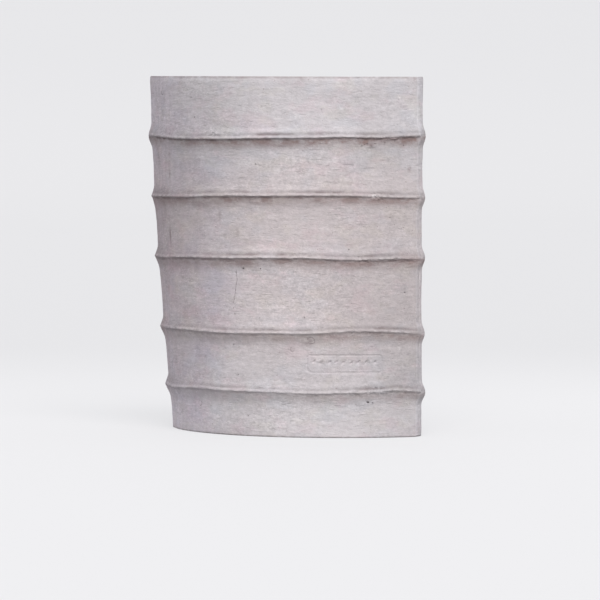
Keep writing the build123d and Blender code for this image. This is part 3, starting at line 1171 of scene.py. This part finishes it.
def outside_plaster():
    """Mauve-grey weathered skin: cloudy tones, casting streaks, a stain with painted shade under the ribs,
    worn crests with a painted highlight.
    """
    material, tree = new_material("plaster_outside")
    cloud = mottle(tree, 60, (1, 1, 1.6), 5, 0.6)
    along = mark(tree, "along") + (cloud - 0.5) * 0.9
    near_leaning_end = between(along, 0.12, 0.42, 1.0, 0.0)

    strong = between(mottle(tree, 50, (1, 1, 2), 3, 0.6, (0.9, 0.1, 0)), 0.36, 0.62, 0.55, 1.1)
    strong = strong + mark(tree, "coarse") * 0.75
    streaks = mottle(tree, 12, (1, 1, 3.2), 4, 0.65, (0, 0.2, 0))
    blots = mottle(tree, 7, (1, 1, 1.4), 3, 0.6, (0.4, 0, 0.6))
    grain = mottle(tree, 2.8, (1, 1, 1.15), 4, 0.85)
    drips = mottle(tree, 7, (1, 1, 0.22), 4, 0.6, (0.5, 0.5, 0))
    dashes = between(mottle(tree, 13, (1, 1, 6), 3, 0.55, (0.2, 0.7, 0)), 0.60, 0.70) * strong
    shade = ripple(streaks, 0.34) * ripple(blots, strong * 0.34) * ripple(grain, strong * 0.72)
    shade = shade * ripple(drips, near_leaning_end * 0.45)
    shade = shade * between(dashes, 0, 1, 1.0, 0.88) * mark(tree, "tone")

    colour = times_grey(skin_colour(tree, cloud, near_leaning_end), shade)
    colour = add_rib_shade_and_stain(tree, add_dots(tree, colour))
    etched = etched_lines(tree)
    colour = mix_colour(etched * 0.55, colour, (0.20, 0.16, 0.16))
    dark_breakup = between(mottle(tree, 5, (1, 1, 1), 4, 0.7), 0.35, 0.60, 0.2, 1.0)
    # dark smudges, the rim line, painted shadow along the foot and painted shade in the pinholes
    colour = mix_colour(mark(tree, "dark") * dark_breakup, colour, (0.25, 0.20, 0.20))
    pale_wear_and_highlight = wear_and_crest_highlight(tree)
    # pale wear, with a painted highlight along the crests
    colour = mix_colour(pale_wear_and_highlight, colour, (0.68, 0.65, 0.65))

    roughness = between(cloud, 0.3, 0.7, 0.80, 0.92) - pale_wear_and_highlight * 0.12
    relief = (
        (streaks, 0.6),
        (blots, 0.3),
        (mottle(tree, 5, (1, 1, 1.8), 3, 0.6, (0.1, 0.3, 0)), 0.25),
        (grain, 0.15),
        (1.0 - dashes, 0.12),
        (1.0 - specks(tree, 3.4, 0.7, (0, 0.4, 0)), 0.15),
        (1.0 - etched, 0.3),
    )
    finish_material(tree, colour, roughness, relief, shine=0.22)
    return material


def inside_plaster(name, tone, tint):
    """Paler working face, with a film of dried slip, a few pits and fine rubbed scratches."""
    material, tree = new_material(name)
    cloud = mottle(tree, 45, (1, 1, 1.3), 4, 0.55)
    darker = tuple(channel * 0.88 for channel in tone)
    colour = mix_colour(between(cloud, 0.36, 0.64), darker, tone)
    film = between(mottle(tree, 22, (1, 1, 0.5), 5, 0.65, (0, 0, 0.4)), 0.44, 0.64, 0, 0.7)
    colour = mix_colour(film, colour, tint)
    grain = mottle(tree, 1.6, (1, 1, 1), 2, 0.7)
    smears = mottle(tree, 9, (1, 1, 2.5), 4, 0.65, (0.3, 0, 0.8))
    shade = between(grain, 0.3, 0.7, 0.92, 1.04) * ripple(smears, 0.22)
    pits = specks(tree, 9, 0.8)
    colour = mix_colour(pits * 0.5, times_grey(colour, shade), (0.36, 0.31, 0.28))
    roughness = between(film, 0.0, 0.5, 0.80, 0.70)
    relief = ((mottle(tree, 3, (1, 1, 9), 3, 0.6), 0.12), (grain, 0.06), (1.0 - pits, 0.2))
    finish_material(tree, colour, roughness, relief, shine=0.25)
    return material


def natch_plastic():
    """Off-white moulded plastic, dusty and scuffed."""
    material, tree = new_material("natch_plastic")
    dust = mottle(tree, 4, (1, 1, 1), 4, 0.6)
    colour = mix_colour(between(dust, 0.40, 0.62), (0.66, 0.62, 0.50), (0.74, 0.71, 0.63))
    scuff = between(mottle(tree, 1.5, (1, 6, 1), 3, 0.6), 0.56, 0.66, 0, 0.5)
    colour = mix_colour(scuff, colour, (0.50, 0.47, 0.42))
    roughness = between(dust, 0.3, 0.7, 0.38, 0.58)
    relief = ((scuff, 0.04), (mottle(tree, 0.8), 0.02))
    finish_material(tree, colour, roughness, relief, shine=0.45)
    return material


PLASTER_OUTSIDE = outside_plaster()
PLASTER_INSIDE = inside_plaster("plaster_inside", (0.62, 0.59, 0.57), (0.49, 0.43, 0.385))
PLASTER_LOOSE = inside_plaster("plaster_loose_pieces", (0.58, 0.55, 0.54), (0.46, 0.405, 0.375))

# ================================ the pieces ================================

front = cast_half("front_half_cast", "front", "front_half", back=False)
back = cast_half("back_half_cast", "back", "back_half", back=True)
for piece, body, node in ((foot_plug(), "base", "base_plug"), (pour_ring(), "spare", "spare_ring")):
    piece.data.materials.append(PLASTER_LOOSE)
    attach(piece, body)
    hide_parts(node)
add_natches(natch_plastic())

# ================================ stage, light and camera ================================

AIM_AZIMUTH = math.radians(28)  # of the camera, from straight in front towards +X
CAMERA_TILT = math.atan(0.0475382)  # below level
CAMERA_DISTANCE, CAMERA_ASIDE = 4.765, 0.00465  # in metres
SENSOR_MM, LENS_MM = 36.0, 282.72

KEY_AZIMUTH, KEY_ELEVATION, KEY_STRENGTH = 40, 40, 2.55  # angles in degrees
KEY_TINT = (1.0, 0.97, 0.96)
LIGHT_ABOVE, LIGHT_BELOW = (0.72, 0.715, 0.745), (0.25, 0.246, 0.25)
FLOOR_TONE, FAR_TONE, WALL_TONE = (0.704, 0.707, 0.717), (0.641, 0.644, 0.654), (0.619, 0.623, 0.634)
LIT_SHARE = (0.35, 0.35, 0.35)  # how much of the floor's colour the light falls on
GLOW = 0.78  # the floor gives off the rest, which keeps its shadow pale


def add_camera():
    """Far off and level with the top edge, tilted down until that edge is near the picture's top."""
    ahead = Vector((-math.sin(AIM_AZIMUTH), math.cos(AIM_AZIMUTH), 0))
    right = Vector((math.cos(AIM_AZIMUTH), math.sin(AIM_AZIMUTH), 0))
    data = bpy.data.cameras.new("camera")
    data.sensor_width = SENSOR_MM
    data.lens = LENS_MM
    data.clip_start, data.clip_end = 0.1, 100
    made = bpy.data.objects.new("camera", data)
    made.location = -ahead * CAMERA_DISTANCE + right * CAMERA_ASIDE + Vector((0, 0, HEIGHT * MM))
    look = ahead * math.cos(CAMERA_TILT) - Vector((0, 0, math.sin(CAMERA_TILT)))
    made.rotation_euler = look.to_track_quat("-Z", "Y").to_euler()
    bpy.context.scene.collection.objects.link(made)
    bpy.context.scene.camera = made


def add_key_light():
    """One broad, soft light from the front right, above."""
    azimuth, elevation = math.radians(KEY_AZIMUTH), math.radians(KEY_ELEVATION)
    level = math.cos(elevation)
    towards = Vector((math.sin(azimuth) * level, -math.cos(azimuth) * level, math.sin(elevation)))
    data = bpy.data.lights.new("key", "SUN")
    data.angle = math.radians(50)
    data.energy = KEY_STRENGTH
    data.color = KEY_TINT
    made = bpy.data.objects.new("key", data)
    made.rotation_euler = (-towards).to_track_quat("-Z", "Y").to_euler()
    bpy.context.scene.collection.objects.link(made)


def add_stage():
    """A pale floor that curves up into a round wall, far from the object."""
    profile = [(0.0, 0.0), (2.0, 0.0), (6.5, 0.0)]
    profile += [(6.5 + 2.5 * math.sin(t), 2.5 - 2.5 * math.cos(t)) for t in np.linspace(0.1, 1.57, 16)]
    profile.append((9.0, 7.0))
    angles = np.linspace(0, 2 * math.pi, 96, endpoint=False)
    points = [np.stack([r * np.cos(angles), r * np.sin(angles), 0 * angles + z], 1) for r, z in profile]
    faces = grid_faces(len(profile), len(angles), wrap=True)
    stage = make_object("stage", np.concatenate(points) / MM, faces)
    tidy(stage)
    stage.rotation_euler.z = AIM_AZIMUTH
    stage.visible_diffuse = False
    stage.visible_shadow = False
    stage.data.materials.append(stage_material())


def stage_material():
    """Plain pale floor, a little darker far off and up the wall, which glows with painted light so that
    shadows on it stay pale.
    """
    material, tree = new_material("pale_floor")
    colour = mix_colour(between(place_along(tree, "Y"), 0.3, 1.6), FLOOR_TONE, FAR_TONE)
    colour = mix_colour(between(place_along(tree, "Z"), 0.0, 0.5), colour, WALL_TONE)
    shader = tree.nodes["Principled BSDF"]
    tree.links.new(mix_colour(1.0, colour, LIT_SHARE, "MULTIPLY"), shader.inputs["Base Color"])
    tree.links.new(colour, shader.inputs["Emission Color"])
    shader.inputs["Emission Strength"].default_value = GLOW
    shader.inputs["Roughness"].default_value = 0.9
    shader.inputs["Specular IOR Level"].default_value = 0.1
    return material


def add_world():
    """Even studio light, brightest overhead and dimmest from below."""
    world = bpy.data.worlds.new("studio")
    world.use_nodes = True
    tree = world.node_tree
    place = new_node("TexCoord", {}, tree).outputs["Generated"]
    height = new_node("SeparateXYZ", {0: place}).outputs["Z"]
    colour = mix_colour(between(height, -0.35, 0.35), LIGHT_BELOW, LIGHT_ABOVE)
    tree.links.new(colour, tree.nodes["Background"].inputs["Color"])
    bpy.context.scene.world = world


bpy.context.scene.view_settings.view_transform = "Standard"
add_world()
add_stage()
add_camera()
add_key_light()
